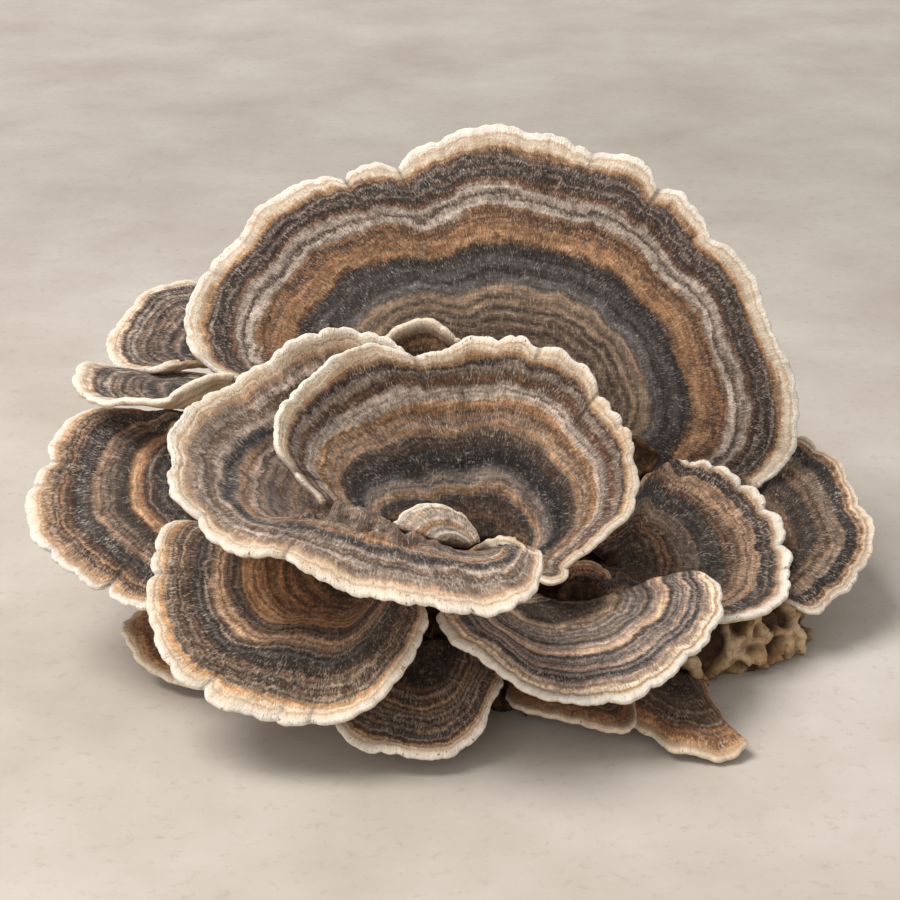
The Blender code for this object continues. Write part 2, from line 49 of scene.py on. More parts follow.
# A cap is a fan: its rim is a smooth line through a few points, from one side edge to the other, and
# its two side edges run back to the heart. belly is how far the middle of a line from heart to rim
# stands above it (or, below zero, under it), as a share of its length. root is half the width over
# which the cap is attached, along X. waist, where a cap has one, is the line halfway between heart
# and rim, point for point like the rim. before and after are points that carry the rim on, out of sight
# under the cap's neighbours, and after_waist the same for the waist; u counts from 0 to 1 without them.
# Outside shown, a pair of u, the margin has no cream edge, and on a hemmed cap the edge runs on along the
# last side. A few rims differ from the solids' by some mm.
PLAIN_CAP = {
    "root": 0, "belly": 0.03, "thick": 2.2, "before": [], "after": [], "after_waist": [], "shown": (0, 1),
    "hemmed": False,
}
CAPS = {
    "cap_back": {
        "heart": (9, 14, 34), "root": 4, "belly": 0.025,
        "rim": [
            (52, 11, 20.5), (57, 13, 24), (58.5, 15, 30.5), (58, 18, 36.5), (54.5, 21, 45), (51, 26, 53),
            (44, 29, 58.5), (38, 33, 65), (30, 36, 69.5), (24, 37, 71), (16, 38, 74), (7, 39, 75.5),
            (-1.5, 38, 73.5), (-8.5, 36, 70), (-16.5, 34, 68.5), (-21, 33, 66.5), (-31, 30, 63.5),
            (-37, 27, 58.5), (-42, 23, 54), (-44, 17, 47.5), (-41.5, 12, 43), (-35, 8.5, 41),
        ],
        "before": [(37, 6, 12), (46, 9, 16)],
    },
    "cap_centre": {
        "heart": (5, -17, 24), "root": 2, "belly": -0.05,
        "rim": [
            (17.5, -27.5, 25), (24.5, -24, 29.5), (27, -22, 31.5), (28.5, -19, 36), (27.5, -15, 41),
            (24, -11, 45.5), (19, -7, 50), (12, -5, 53), (4, -4, 52.5), (-2, -6, 50.5), (-8, -7, 51.5),
            (-15, -9, 52), (-21, -13, 49.5), (-25, -18, 47.5), (-26, -22, 44.5), (-24.5, -25, 41),
            (-20.5, -27, 35),
        ],
        "before": [(13, -28, 23.6), (15.6, -28.8, 22.9), (17.2, -28.3, 23.6)], "shown": (-0.2, 1),
    },
    "cap_swirl": {
        "heart": (-1, -22, 16), "belly": 0,
        "rim": [
            (-3, -3, 44), (-8.5, -1, 50.5), (-18, 0, 52.5), (-27, -2, 50), (-34, -6, 46.5), (-39, -12, 46),
            (-42, -20, 44), (-42, -29, 41.5), (-37, -39, 38), (-29, -46, 36), (-18, -51, 34),
            (-6, -54, 32.5), (6, -55, 31.5), (11.5, -52.5, 32.5), (12.5, -44, 35),
        ],
        "waist": [
            (-1.5, -10.5, 28), (-5, -8, 30), (-11, -8, 31), (-15, -10, 31), (-18, -13, 30.5),
            (-20, -16, 30.5), (-22, -21, 31), (-22, -26, 32), (-21, -31, 33), (-17, -33, 34),
            (-12, -34, 34.5), (-6, -35, 33), (0, -36, 31.8), (4, -36, 31.3), (5.5, -33, 30),
        ],
        "after": [(11.3, -42, 34.3)], "after_waist": [(5.2, -33.2, 29.9)],
        "shown": (0, 1.2), "hemmed": True,
    },
    "cap_bud_top": {
        "heart": (-4, 4, 28), "root": 3, "belly": -0.04, "thick": 1.6,
        "rim": [
            (4, 3, 35), (4, 3, 41), (2.5, 3, 47), (0, 3, 50.5), (-4, 4, 52.3), (-8, 3.5, 51.5),
            (-11, 3, 48.5), (-12, 3, 42), (-11, 3, 35),
        ],
    },
    "cap_bud_inner": {
        "heart": (1.5, -36.6, 32.2), "root": 1, "belly": 0.06, "thick": 1.6,
        "rim": [
            (4.8, -35.2, 32.8), (3.6, -33.8, 34.4), (0.8, -32.6, 36.2), (-3, -32.6, 37.2),
            (-6.6, -34, 36.8), (-8.9, -35.8, 35.4),
        ],
    },
    "cap_left": {
        "heart": (-38, -8, 28),
        "rim": [
            (-37, 3, 35), (-44, 6, 36), (-50, 9, 35), (-57, 11, 35), (-62.5, 8, 34), (-66, 3, 32),
            (-68, -5, 29), (-67, -13, 26.5), (-65, -19, 24.5), (-59, -25, 22.5), (-53, -29, 20),
            (-46, -31, 18.5), (-39, -28, 19.5), (-33, -21, 22.5),
        ],
        "shown": (0.17, 1),
    },
    "cap_left_upper": {
        "heart": (-36, 20, 40),
        "rim": [
            (-35, 29, 41), (-38, 37, 43), (-45, 39.5, 46), (-51, 37, 47), (-54.5, 31, 45.5),
            (-57, 25, 43.5), (-57.5, 19, 41.5), (-55, 15.5, 40.3), (-50, 14.5, 40), (-46, 14.5, 41.5),
        ],
    },
    "cap_left_edge": {
        "heart": (-35, 4, 40), "belly": -0.03,
        "rim": [
            (-39, 17, 37.8), (-47, 17, 38.3), (-54, 15.5, 39.4), (-59.5, 12, 42.2), (-61, 6.5, 42.3),
            (-59.5, 2, 41), (-56.5, -1, 41), (-51.5, -3, 41.5), (-47, -4, 42), (-43, -2.5, 43.5),
            (-38.5, -1, 45.3), (-34.5, 0, 44.5),
        ],
        "before": [(-30, 16, 37)],
    },
    "cap_front_left": {
        "heart": (-15, -25, 19),
        "rim": [
            (-20, -17, 21.5), (-28, -17, 24.5), (-36, -19, 27.5), (-42, -21, 29.5), (-44.5, -25, 28),
            (-45, -33, 24), (-43.5, -40, 20.5), (-40.5, -46, 16.5), (-35, -49, 13.5), (-24, -51, 10.8),
            (-17, -51, 11.5), (-11, -49.5, 15), (-5.5, -44.5, 19.5), (-3, -39, 22), (-4, -33, 21),
        ],
    },
    "cap_front_low": {
        "heart": (-4, -26, 11), "belly": 0.02,
        "rim": [
            (-11, -24, 11), (-16, -29, 10.5), (-18.5, -36, 8.5), (-17, -43, 6.5), (-12, -47.5, 4.8),
            (-4, -49, 3.8), (2, -47, 5.2), (5.5, -43, 8), (8, -36, 10.5), (6, -29, 11.5), (2, -25, 11.3),
        ],
    },
    "cap_front_right": {
        "heart": (19, -24.5, 15.8),
        "rim": [
            (13, -21, 16.5), (8, -25, 17), (1, -30, 19), (-1.5, -34, 19.8), (1, -39, 17.8),
            (6, -42.5, 15.5), (12, -46, 13), (18, -47, 12.2), (25, -46.5, 12.3), (31, -43, 13.7),
            (37, -36.5, 15.5), (41.5, -29, 17.2), (42.5, -24, 19), (40, -21.3, 20),
        ],
        "after": [
            (38.4, -20.5, 19.7), (36.5, -20, 18.4), (31, -18.5, 14.2), (25, -17.5, 13.2), (19, -18, 13.6),
            (14, -19.5, 15),
        ],
        "shown": (0, 0.99),
    },
    "cap_right": {
        "heart": (27, -11, 16.5), "belly": -0.05,
        "rim": [
            (28, -18, 14.5), (35, -20.5, 13), (42, -22, 12.3), (47.5, -21.5, 12), (53, -16.5, 13),
            (55.5, -11, 14.3), (56, -6, 17), (53, 0, 21.2), (49, 4, 24), (45, 6, 26), (40, 7, 27),
            (35, 5, 26.7), (31, 1, 25), (27, -2, 23),
        ],
        "before": [(19, -16, 18), (22, -19, 15.5)], "after": [(23, -4, 22.5), (18.5, -8, 22)],
        "shown": (0.02, 0.8),
    },
    "cap_far_right": {
        "heart": (48, 0, 14.5), "belly": 0.02,
        "rim": [
            (51.5, -9, 11.5), (57.5, -14, 9.3), (61, -12.5, 10), (64.5, -8.5, 11.5), (68.5, -3, 14),
            (70, 2, 16), (69, 9, 18), (67, 17, 21), (64, 21, 22.8), (60.5, 23.5, 24), (52, 19, 19.5),
            (47, 11, 16),
        ],
    },
    "cap_low_left": {
        "heart": (-31, -14, 5), "belly": 0.02, "thick": 1.6,
        "rim": [
            (-32, -8, 6), (-40, -7, 7), (-48, -9, 8), (-52, -12, 8), (-52, -17, 7.5), (-49.5, -21.5, 5.5),
            (-44, -25, 4), (-38, -26, 3.5), (-31, -22, 4),
        ],
    },
    "cap_low_middle": {
        "heart": (20, -25, 5), "belly": 0.02, "thick": 1.6,
        "rim": [
            (12, -23, 4.6), (9, -29, 4.2), (9.5, -33, 4), (12, -35.5, 4), (18, -38, 4.8), (22.5, -41, 4.8),
            (26.5, -42, 4.3), (28, -39, 4.4), (27.5, -31, 4.6), (25, -24, 4.6),
        ],
        "before": [(14, -18, 5)], "after": [(33, -24, 4.6)],
    },
    "cap_low_right": {
        "heart": (35, -23, 4), "belly": 0.02, "thick": 1.6,
        "rim": [
            (26.5, -27, 3.7), (26.3, -33, 3.4), (27.6, -37.5, 3.2), (31, -41, 2.9), (33, -43.6, 2.6),
            (36.5, -45, 2.5), (41, -45.3, 2.2), (44.3, -43.3, 2.2), (43.3, -40, 2.3), (41.3, -32, 2.7),
            (40, -25, 3.4),
        ],
    },
    "cap_curl": {
        "heart": (21.5, -17.5, 16.2), "root": 1, "belly": 0.05, "thick": 1.6,
        "rim": [
            (25.5, -17.5, 17), (24.5, -16.5, 18.3), (21.5, -15.8, 19.3), (18.5, -16.3, 19),
            (17.5, -17.8, 17.5),
        ],
    },
    "cap_rear_left": {
        "heart": (-15, 15, 20),
        "rim": [
            (-10, 18, 20), (-7, 26, 19), (-7, 34, 18), (-11, 40, 17.5), (-18, 42.5, 17.5), (-25, 41, 18.3),
            (-31, 36, 18), (-34.5, 29, 17), (-32, 21, 17.5), (-25, 14, 19),
        ],
    },
    "cap_rear_right": {
        "heart": (25, 13, 14.5),
        "rim": [
            (30, 9, 14.7), (37, 14, 14), (43, 21, 13.3), (45, 28, 12.8), (43.5, 36, 12.3), (39, 41.5, 12.4),
            (32, 44, 11.7), (25, 42.5, 11.6), (19, 36.5, 12.3), (17, 28, 13.2), (19, 19, 14.2),
        ],
    },
    "cap_rear_low": {
        "heart": (3, 19, 7.5), "thick": 1.6,
        "rim": [
            (9, 19, 7.4), (14.5, 27, 6.5), (15, 35, 5.3), (10, 41, 4.2), (3, 42.5, 4), (-5, 39.5, 4.6),
            (-9, 32, 5.6), (-7, 24, 6.7), (-3, 18, 7.5),
        ],
    },
}

# Red, green and blue of 0 to 255, as a screen shows them.
COLOURS = {
    "ivory": (240, 231, 217), "cream": (229, 212, 190), "straw": (201, 170, 137), "ochre": (166, 129, 94),
    "amber": (146, 106, 72), "tan": (170, 143, 117), "rust": (118, 84, 64), "brown": (108, 84, 67),
    "umber": (78, 62, 50), "charcoal": (60, 55, 53), "black": (45, 42, 41), "slate": (86, 81, 78),
    "blue_grey": (112, 107, 105), "mauve": (140, 125, 113), "silver": (190, 176, 162),
    "taupe": (134, 117, 100), "olive": (100, 85, 67), "dark": (52, 40, 31), "pink": (184, 158, 140),
    # crease is painted shade for the creases at the deeper notches
    "frost": (190, 177, 164), "speck": (134, 94, 62), "stain": (184, 146, 106), "crease": (50, 38, 30),
    "pore_heart": (146, 114, 80), "pore_middle": (186, 158, 122), "pore_outer": (214, 196, 168),
    "pore_rim": (232, 220, 200), "pore_stain": (168, 130, 90), "pore": (110, 84, 60),
    "flesh_dark": (146, 112, 76), "flesh": (192, 160, 120), "flesh_pale": (232, 212, 180),
    # the bark colours are partly the base's own brown and partly painted shade under the caps
    "bark_shade_dark": (34, 25, 19), "bark_shade": (56, 41, 30), "bark_shade_pale": (84, 62, 44),
    # pit is painted shade for the hollows between the base's folds
    "pit_shade": (54, 38, 26), "fleck": (112, 80, 52),
    "stone_dark": (176, 167, 157), "stone": (197, 190, 182), "grit": (150, 138, 124),
}

# How each cap looks. reach is where the real rim stands along u, as a share of the way to the smooth one;
# notches are (u, depth, half-width) of the cuts in the rim; humps are swellings at (u, growth), with their
# widths, height and roughness. zones are the colours from the margin to the heart by growth, and tint
# multiplies them: partly the cap's own tone and partly painted light and shade, which lifts caps that lie
# in shade among their neighbours and darkens those turned away from the light. sway moves the bands
# outwards by a table along u, and inner those near the heart. patchy is how uneven the velvet is, and below
# the growth of near it no longer runs in lines. Below the growth of worn, and on the humps, it has blotches,
# which are colours over a noise: partly the cap's own mottling and partly painted shade darkening the heart.
PLAIN_LOOK = {
    "tint_and_light": (1, 1, 1), "patchy": 1, "near": 0.25, "blotch_and_shade": 0.3, "humps": [], "notches": [],
    "reach": [(0, 1), (1, 1)], "sway": [(0, 0), (1, 0)], "inner": [(0, 0), (1, 0)],
    "blotches": [
        (.3, "black"), (.4, "dark"), (.46, "brown"), (.49, "dark"), (.54, "umber"), (.6, "taupe"),
        (.66, "dark"),
    ],
}
LOOKS = {
    "cap_back": {
        "tint_and_light": (.91, .87, .86), "patchy": 1.2,
        "reach": [
            (0, 1.01), (.15, 1), (.24, 1), (.3, 1.025), (.38, 1.02), (.45, 1.005), (.5, .98), (.57, .985),
            (.62, 1.005), (.66, .995), (.715, 1.035), (.77, 1.005), (.85, .99), (.93, 1), (1, 1),
        ],
        "notches": [
            (.17, .012, .02), (.207, .01, .02), (.28, .015, .02), (.352, .045, .018), (.427, .02, .015),
            (.585, .012, .02), (.636, .03, .015), (.69, .04, .014), (.81, .015, .02), (.855, .015, .02),
        ],
        "sway": [
            (0, .02), (.1, .015), (.3, .015), (.4, 0), (.5, -.02), (.6, -.02), (.66, .01), (.7, .05),
            (.76, .05), (.85, .045), (1, .05),
        ],
        "zones": """1 ivory .975 ivory .967 straw .96 cream .945 cream .932 straw .92 ochre .905 brown
            .895 charcoal .885 mauve .875 charcoal .855 umber .845 mauve .838 charcoal .82 umber .805 rust
            .795 mauve .78 silver .765 mauve .752 umber .742 silver .725 silver .715 taupe .705 amber
            .69 umber .678 amber .665 brown .655 ochre .64 amber .625 ochre .605 ochre .592 amber .58 umber
            .565 charcoal .55 charcoal .52 slate .49 charcoal .47 slate .455 blue_grey .44 slate .43 taupe
            .415 tan .4 taupe .385 olive .372 tan .36 taupe .35 umber .33 taupe .31 umber .29 taupe .27 umber
            .24 taupe .2 umber 0 umber""",
    },
    "cap_centre": {
        "tint_and_light": (.83, .79, .77),
        "reach": [
            (0, 1), (.05, 1.02), (.12, 1.01), (.18, .985), (.3, 1), (.35, 1.02), (.42, .99), (.5, .985),
            (.56, 1.01), (.6, 1), (.66, 1.02), (.72, 1.01), (.8, .995), (.86, 1), (.92, 1.02), (.96, .97),
            (1, .95),
        ],
        "notches": [
            (.19, .02, .02), (.25, .02, .015), (.31, .04, .025), (.36, .01, .015), (.42, .03, .02),
            (.48, .01, .02), (.615, .035, .02), (.87, .01, .02), (.94, .04, .02),
        ],
        "sway": [
            (0, .12), (.05, .1), (.1, .05), (.15, .02), (.25, 0), (.4, 0), (.5, -.02), (.54, 0), (.58, .05),
            (.65, .02), (.7, -.03), (.75, -.01), (.8, .02), (.85, .05), (.9, .09), (.95, .16), (1, .2),
        ],
        "inner": [
            (0, .16), (.05, .1), (.1, .05), (.15, .03), (.2, .01), (.3, 0), (.48, .01), (.5, .02), (.54, 0),
            (.58, -.05), (.65, -.02), (.7, .03), (.75, .01), (.8, .03), (.85, .05), (.9, .08), (.95, .13),
            (1, .2),
        ],
        "zones": """1 ivory .98 cream .967 straw .958 cream .94 straw .925 ochre .912 brown .9 charcoal
            .885 mauve .865 mauve .855 taupe .835 brown .82 rust .805 brown .79 mauve .77 silver .755 mauve
            .745 silver .725 silver .712 straw .7 ochre .68 ochre .665 amber .65 taupe .63 ochre .615 mauve
            .6 tan .575 ochre .555 taupe .54 umber .53 brown .515 charcoal .5 umber .485 umber .47 charcoal
            .455 charcoal .44 black .405 black .385 charcoal .365 slate .35 blue_grey .335 mauve .32 mauve
            .305 blue_grey .295 mauve .28 tan .265 tan .25 ochre .235 taupe .22 slate .205 charcoal .19 umber
            .175 charcoal .16 brown .145 umber .12 amber .1 dark 0 dark""",
    },
    "cap_swirl": {
        "tint_and_light": (.97, .9, .87), "patchy": 1.5, "near": 0.42,
        "reach": [
            (0, 1), (.1, .99), (.18, 1), (.27, .99), (.32, .985), (.4, 1), (.44, .98), (.5, 1.03), (.55, 1),
            (.6, 1.03), (.66, .97), (.7, .985), (.77, 1), (.85, .995), (.93, .985), (1, 1.04),
        ],
        "notches": [(.23, .015, .02), (.44, .02, .03), (.54, .02, .02), (.66, .03, .03)],
        "humps": [
            (.68, .52, .07, .16, 2.4, 1.8), (.62, .6, .04, .1, .7, 2.2), (.75, .62, .05, .1, .8, 2.2),
            (.82, .6, .06, .12, .5, 1.6),
        ],
        "blotch_and_shade": 0.62,
        "blotches": [
            (.3, "black"), (.38, "charcoal"), (.42, "rust"), (.455, "ochre"), (.485, "dark"),
            (.52, "mauve"), (.55, "umber"), (.59, "silver"), (.63, "brown"), (.68, "tan"),
        ],
        "inner": [(0, .14), (.3, .13), (.37, .02), (.45, 0), (1, 0)],
        "zones": """1 ivory .975 cream .965 straw .957 cream .944 straw .93 tan .917 mauve .905 taupe
            .892 silver .878 mauve .868 umber .856 taupe .842 brown .825 silver .81 mauve .798 slate
            .785 black .77 charcoal .757 slate .745 taupe .73 ochre .718 brown .7 tan .685 silver .672 umber
            .658 taupe .64 mauve .622 slate .61 mauve .593 taupe .577 brown .56 mauve .545 pink .53 tan
            .517 mauve .5 tan .485 taupe .465 pink .43 pink .415 tan .4 brown .385 umber .365 brown .34 umber
            .325 brown .31 tan .285 mauve .27 brown .25 tan .225 taupe .2 brown .15 umber 0 umber""",
    },
    "cap_left": {
        "tint_and_light": (.91, .82, .77), "patchy": 1.4,
        "reach": [
            (0, 1), (.2, 1), (.28, 1), (.36, .97), (.4, .93), (.45, .96), (.5, .99), (.6, .975), (.7, .97),
            (.8, .96), (1, 1),
        ],
        "notches": [(.385, .03, .03), (.455, .02, .02), (.61, .02, .02), (.74, .08, .01)],
        "sway": [
            (0, .3), (.15, .2), (.2, .12), (.25, .06), (.35, .02), (.45, -.01), (.6, 0), (.75, .03),
            (.85, .05), (1, .1),
        ],
        "zones": """1 ivory .98 ivory .955 cream .94 straw .925 straw .905 tan .888 tan .876 taupe .864 umber
            .852 taupe .838 brown .828 umber .816 ochre .805 taupe .79 umber .775 brown .76 umber
            .745 charcoal .73 slate .715 charcoal .7 slate .68 charcoal .66 umber .645 mauve .63 tan .615 tan
            .6 brown .58 mauve .56 umber .54 taupe .52 slate .5 umber .48 charcoal .455 umber .435 ochre
            .42 straw .4 ochre .38 ochre .365 brown .35 charcoal .335 mauve .32 umber .29 black .26 slate
            .24 black .2 charcoal 0 umber""",
    },
    "cap_left_upper": {
        "tint_and_light": (.95, .9, .88), "patchy": 2.2,
        "zones": """1 ivory .95 cream .93 straw .915 cream .9 tan .885 brown .87 charcoal .845 mauve
            .825 charcoal .8 silver .785 mauve .77 umber .75 taupe .735 brown .72 mauve .7 charcoal
            .675 brown .655 mauve .635 umber .61 taupe .59 umber .56 mauve .53 charcoal .5 umber .46 mauve
            .42 charcoal .3 umber 0 dark""",
    },
    "cap_front_left": {
        # painted light: this cap lies in shade under the swirl, and its tint lifts it
        "tint_and_light": (1.45, 1.33, 1.2), "patchy": 1.2,
        "reach": [
            (0, 1), (.2, .99), (.3, 1), (.36, 1.01), (.45, 1.005), (.52, .985), (.6, 1), (.67, .99),
            (.73, 1), (.8, 1.02), (.86, 1.035), (.92, .97), (1, .9),
        ],
        "notches": [
            (.29, .01, .015), (.33, .035, .015), (.54, .03, .02), (.605, .01, .015), (.655, .02, .015),
            (.7, .025, .015),
        ],
        "sway": [
            (0, .03), (.3, .03), (.4, .02), (.5, 0), (.55, -.04), (.62, -.055), (.7, -.06), (.8, -.05),
            (.9, -.06), (1, -.08),
        ],
        "inner": [(0, .12), (.35, .06), (.5, 0), (.56, -.08), (.62, -.1), (.75, -.1), (.9, -.12), (1, -.12)],
        "zones": """1 ivory .97 cream .96 straw .952 cream .94 straw .922 ochre .908 taupe .892 charcoal
            .88 taupe .865 charcoal .853 brown .84 black .825 taupe .812 charcoal .8 brown .785 black
            .772 umber .757 charcoal .743 black .73 slate .715 black .7 charcoal .688 mauve .675 charcoal
            .66 brown .64 taupe .625 tan .61 brown .595 tan .58 taupe .565 brown .553 charcoal .54 brown
            .528 black .51 charcoal .497 brown .48 charcoal .465 ochre .45 brown .435 amber .42 ochre
            .405 umber .39 ochre .37 brown .355 amber .34 umber .32 amber .3 brown .275 amber .25 umber
            .22 amber .18 umber .14 amber .08 dark 0 dark""",
    },
    "cap_front_right": {
        "tint_and_light": (1.12, 1.07, 1.03), "patchy": 1.2,
        "reach": [
            (0, 1), (.3, 1), (.34, .99), (.4, 1.01), (.47, .97), (.5, 1.01), (.6, 1), (.62, 1.02),
            (.7, 1.01), (.8, 1.01), (.88, 1), (.95, .97), (1, 1),
        ],
        "sway": [
            (0, .03), (.3, .03), (.45, .01), (.5, 0), (.58, -.01), (.62, -.01), (.7, .01), (.8, .02),
            (.85, .05), (.9, .03), (1, .04),
        ],
        "inner": [(0, .3), (.3, .24), (.4, .14), (.5, .03), (.56, 0), (.7, .02), (1, .05)],
        "zones": """1 ivory .97 ivory .955 cream .945 straw .935 ochre .922 cream .9 cream .885 straw
            .875 tan .865 mauve .85 pink .835 mauve .82 slate .805 charcoal .79 charcoal .78 mauve .765 mauve
            .75 slate .74 charcoal .725 mauve .71 pink .695 taupe .68 mauve .665 slate .65 mauve .635 slate
            .615 mauve .6 slate .585 charcoal .57 brown .56 pink .53 straw .505 pink .48 mauve .465 pink
            .45 mauve .43 slate .415 charcoal .395 taupe .375 slate .35 mauve .33 slate .3 mauve .28 slate
            .26 taupe .25 taupe .225 olive .2 tan .175 taupe .155 brown .14 dark 0 dark""",
    },
    "cap_right": {
        "tint_and_light": (.79, .71, .66),
        "reach": [
            (0, .95), (.25, .93), (.3, .98), (.4, .97), (.5, .97), (.57, 1), (.64, 1), (.72, 1), (.8, 1),
            (.85, .98), (1, .95),
        ],
        "notches": [
            (.45, .02, .02), (.51, .02, .02), (.6, .03, .02), (.67, .03, .02), (.74, .03, .02),
            (.79, .02, .02),
        ],
        "sway": [
            (0, -.03), (.25, -.03), (.3, -.02), (.5, 0), (.6, .02), (.7, .05), (.8, .08), (.85, .1), (1, .1),
        ],
        "zones": """1 ivory .975 ivory .955 cream .94 pink .93 straw .915 brown .9 slate .885 charcoal
            .87 mauve .855 charcoal .84 slate .825 charcoal .81 tan .79 tan .77 pink .755 brown .74 tan
            .71 tan .69 brown .675 taupe .66 brown .645 umber .63 brown .61 charcoal .595 slate .58 charcoal
            .56 slate .54 charcoal .5 slate .48 charcoal .46 taupe .44 slate .42 taupe .4 mauve .38 olive
            .36 taupe .345 umber .33 olive .315 dark .3 amber .285 brown .272 dark .26 amber .24 brown
            .225 dark .2 brown .18 dark .15 brown .12 dark 0 dark""",
    },
    "cap_front_low": {
        "tint_and_light": (1.1, 1, .9),
        "reach": [
            (0, 1), (.35, 1.01), (.42, 1.015), (.48, .98), (.55, 1), (.63, 1.01), (.7, 1.01), (.77, .98),
            (1, 1),
        ],
        "zones": """1 ivory .965 cream .955 straw .945 cream .93 ochre .915 straw .9 brown .88 umber
            .865 mauve .85 umber .835 slate .82 charcoal .8 taupe .785 brown .77 charcoal .75 taupe
            .73 charcoal .71 mauve .69 umber .66 taupe .64 umber .61 tan .59 brown .57 umber .53 taupe
            .5 dark .47 brown .44 dark 0 black""",
    },
    "cap_far_right": {
        # painted shade: this cap faces away from the light, and its tint darkens it as well as browning it
        "tint_and_light": (.81, .73, .65), "patchy": 1.3,
        "reach": [
            (0, 1), (.13, .97), (.2, .98), (.23, 1.02), (.3, 1.01), (.4, 1), (.48, .98), (.52, .99),
            (.6, 1.02), (.68, .99), (1, 1),
        ],
        "zones": """1 ivory .97 cream .95 tan .935 cream .92 ochre .905 brown .89 tan .875 umber .86 charcoal
            .835 charcoal .81 black .79 charcoal .773 taupe .75 mauve .72 taupe .7 mauve .68 taupe .66 brown
            .645 umber .63 brown .61 taupe .59 brown .57 umber .555 charcoal .53 charcoal .5 umber
            .47 charcoal .43 umber .4 brown .36 taupe .3 umber 0 dark""",
    },
    "cap_low_left": {
        "tint_and_light": (1.05, .92, .78),
        "zones": """1 cream .94 straw .89 ochre .83 amber .75 umber .68 charcoal .62 mauve .55 umber
            .45 taupe .36 charcoal .3 taupe .2 umber 0 umber""",
    },
    "cap_bud_top": {"zones": "1 cream .93 straw .9 brown .85 ochre .78 brown .7 umber .5 brown 0 umber"},
    "cap_bud_inner": {
        "zones": """1 ivory .93 cream .87 silver .81 straw .75 silver .68 pink .62 silver .56 ochre .51 amber
            .46 silver .4 mauve .33 silver .24 taupe .1 umber 0 umber""",
    },
    "cap_curl": {
        # painted light: the curl lies in shade among its neighbours, and its tint lifts it
        "tint_and_light": (1.5, 1.4, 1.3),
        "zones": """1 cream .95 straw .9 amber .84 tan .78 brown .7 amber .62 umber .5 brown .4 umber
            .2 dark 0 dark""",
    },
    "cap_low_middle": {
        "tint_and_light": (1.08, .94, .78),
        "zones": """1 cream .97 straw .93 tan .9 ochre .85 amber .82 ochre .79 brown .76 amber .72 umber
            .69 taupe .66 umber .62 brown .59 umber .55 taupe .52 umber .46 brown .4 umber .3 dark 0 dark""",
    },
}
# Caps that look like another one.
LIKE = {
    "cap_left_edge": "cap_left_upper", "cap_low_right": "cap_low_middle", "cap_rear_left": "cap_front_left",
    "cap_rear_right": "cap_far_right", "cap_rear_low": "cap_low_left",
}

COLUMN = 0.45               # distance between a cap's grid lines along its rim
ROW = 0.7                   # and from heart to rim
RIM_THICKNESS = 1.2
THINNING = 1.4              # how fast a cap thins out from its heart
ROUNDING = 0.6              # of the margin and of the side edges
ROUND_STEPS = 5             # grid lines that round them off
NEAR_ROWS = 4               # too close to the heart for normals of their own
LOBE, SMALL_LOBE, TOOTH = 7.5, 3.1, 1.2                 # widths along the rim
SOFT = 0.012                # of u, over which the tables' corners are softened
RING_WIDTH = 1.1            # of the fine rings
RIDGE_SEED = 333
TINY = 1e-9

VOXEL = 0.65                # grid of the base
FOLD_WIDTH, RIPPLE_WIDTH, LUMP_WIDTH = 5.2, 2.3, 11
FOLD_HEIGHT, RIPPLE_HEIGHT, LUMP_HEIGHT = 2.72, 0.88, 2.08
HOLLOWED = 1.6              # how far the base lies under its solid between the folds

# Waves of a cap's upper side by their seeds: height, cells along the rim and towards it, and the power of
# the way from the heart that they grow with.
WAVES = {4: (1.1, 8.5, 16, 2.5), 5: (0.3, 4, 9, 3), 6: (0.5, 9, 4.5, 1), 8: (0.13, 1.5, 14, 5)}

MOST_STOPS = 30             # that one colour ramp holds
WIDE = 0.2, 0.8             # all of a noise
CORE = 0.3, 0.7             # most of it
HAIR_LEANS = -0.9, 1.0      # slants of the pale hairs
HAIR_SCALES = (2900, 1000, 800), (850, 1400, 2900)      # and near the heart their cells a metre

FLOOR = 6.0                 # half its width, in metres
AIM = 0, 0, 0.02            # of the lights, in metres

rng = np.random.default_rng(21)
SHUFFLE = np.tile(rng.permutation(256), 2)
SLOPES = rng.normal(size=(256, 3))
SLOPES /= np.linalg.norm(SLOPES, axis=1)[:, None]


def noise(points):
    """Smooth noise from about -1 to 1 at points in the space of its cells."""
    cell = np.floor(points).astype(int)
    part = points - cell
    fade = part ** 3 * (part * (part * 6 - 15) + 10)
    total = 0.0
    for corner in range(8):
        step = np.array([corner & 1, corner >> 1 & 1, corner >> 2 & 1])
        at = (cell + step) & 255
        pick = SHUFFLE[(SHUFFLE[(SHUFFLE[at[..., 0]] + at[..., 1]) & 255] + at[..., 2]) & 255]
        weight = np.prod(np.where(step, fade, 1 - fade), axis=-1)
        total = total + weight * np.sum(SLOPES[pick] * (part - step), axis=-1)
    return total * 1.5


def noise_at(x, y, seed):
    """The same for two coordinates and a seed."""
    x, y = np.broadcast_arrays(x, y)
    return noise(np.stack([x, y, np.full(x.shape, seed * 7.31 + 0.5)], axis=-1))


def smooth_line(points, places):
    """Points on the smooth line through the given ones; places count points from the first."""
    last = len(points) - 1
    first = np.minimum(np.floor(places).astype(int), last - 1)
    part = (places - first)[:, None]
    padded = np.vstack([2 * points[0] - points[1], points, 2 * points[-1] - points[-2]])
    a, b, c, d = (padded[first + k] for k in range(4))
    return 0.5 * (
        2 * b + (c - a) * part + (2 * a - 5 * b + 4 * c - d) * part ** 2
        + (3 * b - a - 3 * c + d) * part ** 3
    )


def along(points):
    """Distances along the smooth line, and the places they belong to."""
    places = np.linspace(0, len(points) - 1, 48 * (len(points) - 1) + 1)
    line = smooth_line(points, places)
    steps = np.linalg.norm(np.diff(line, axis=0), axis=1)
    return np.concatenate([[0], np.cumsum(steps)]), places


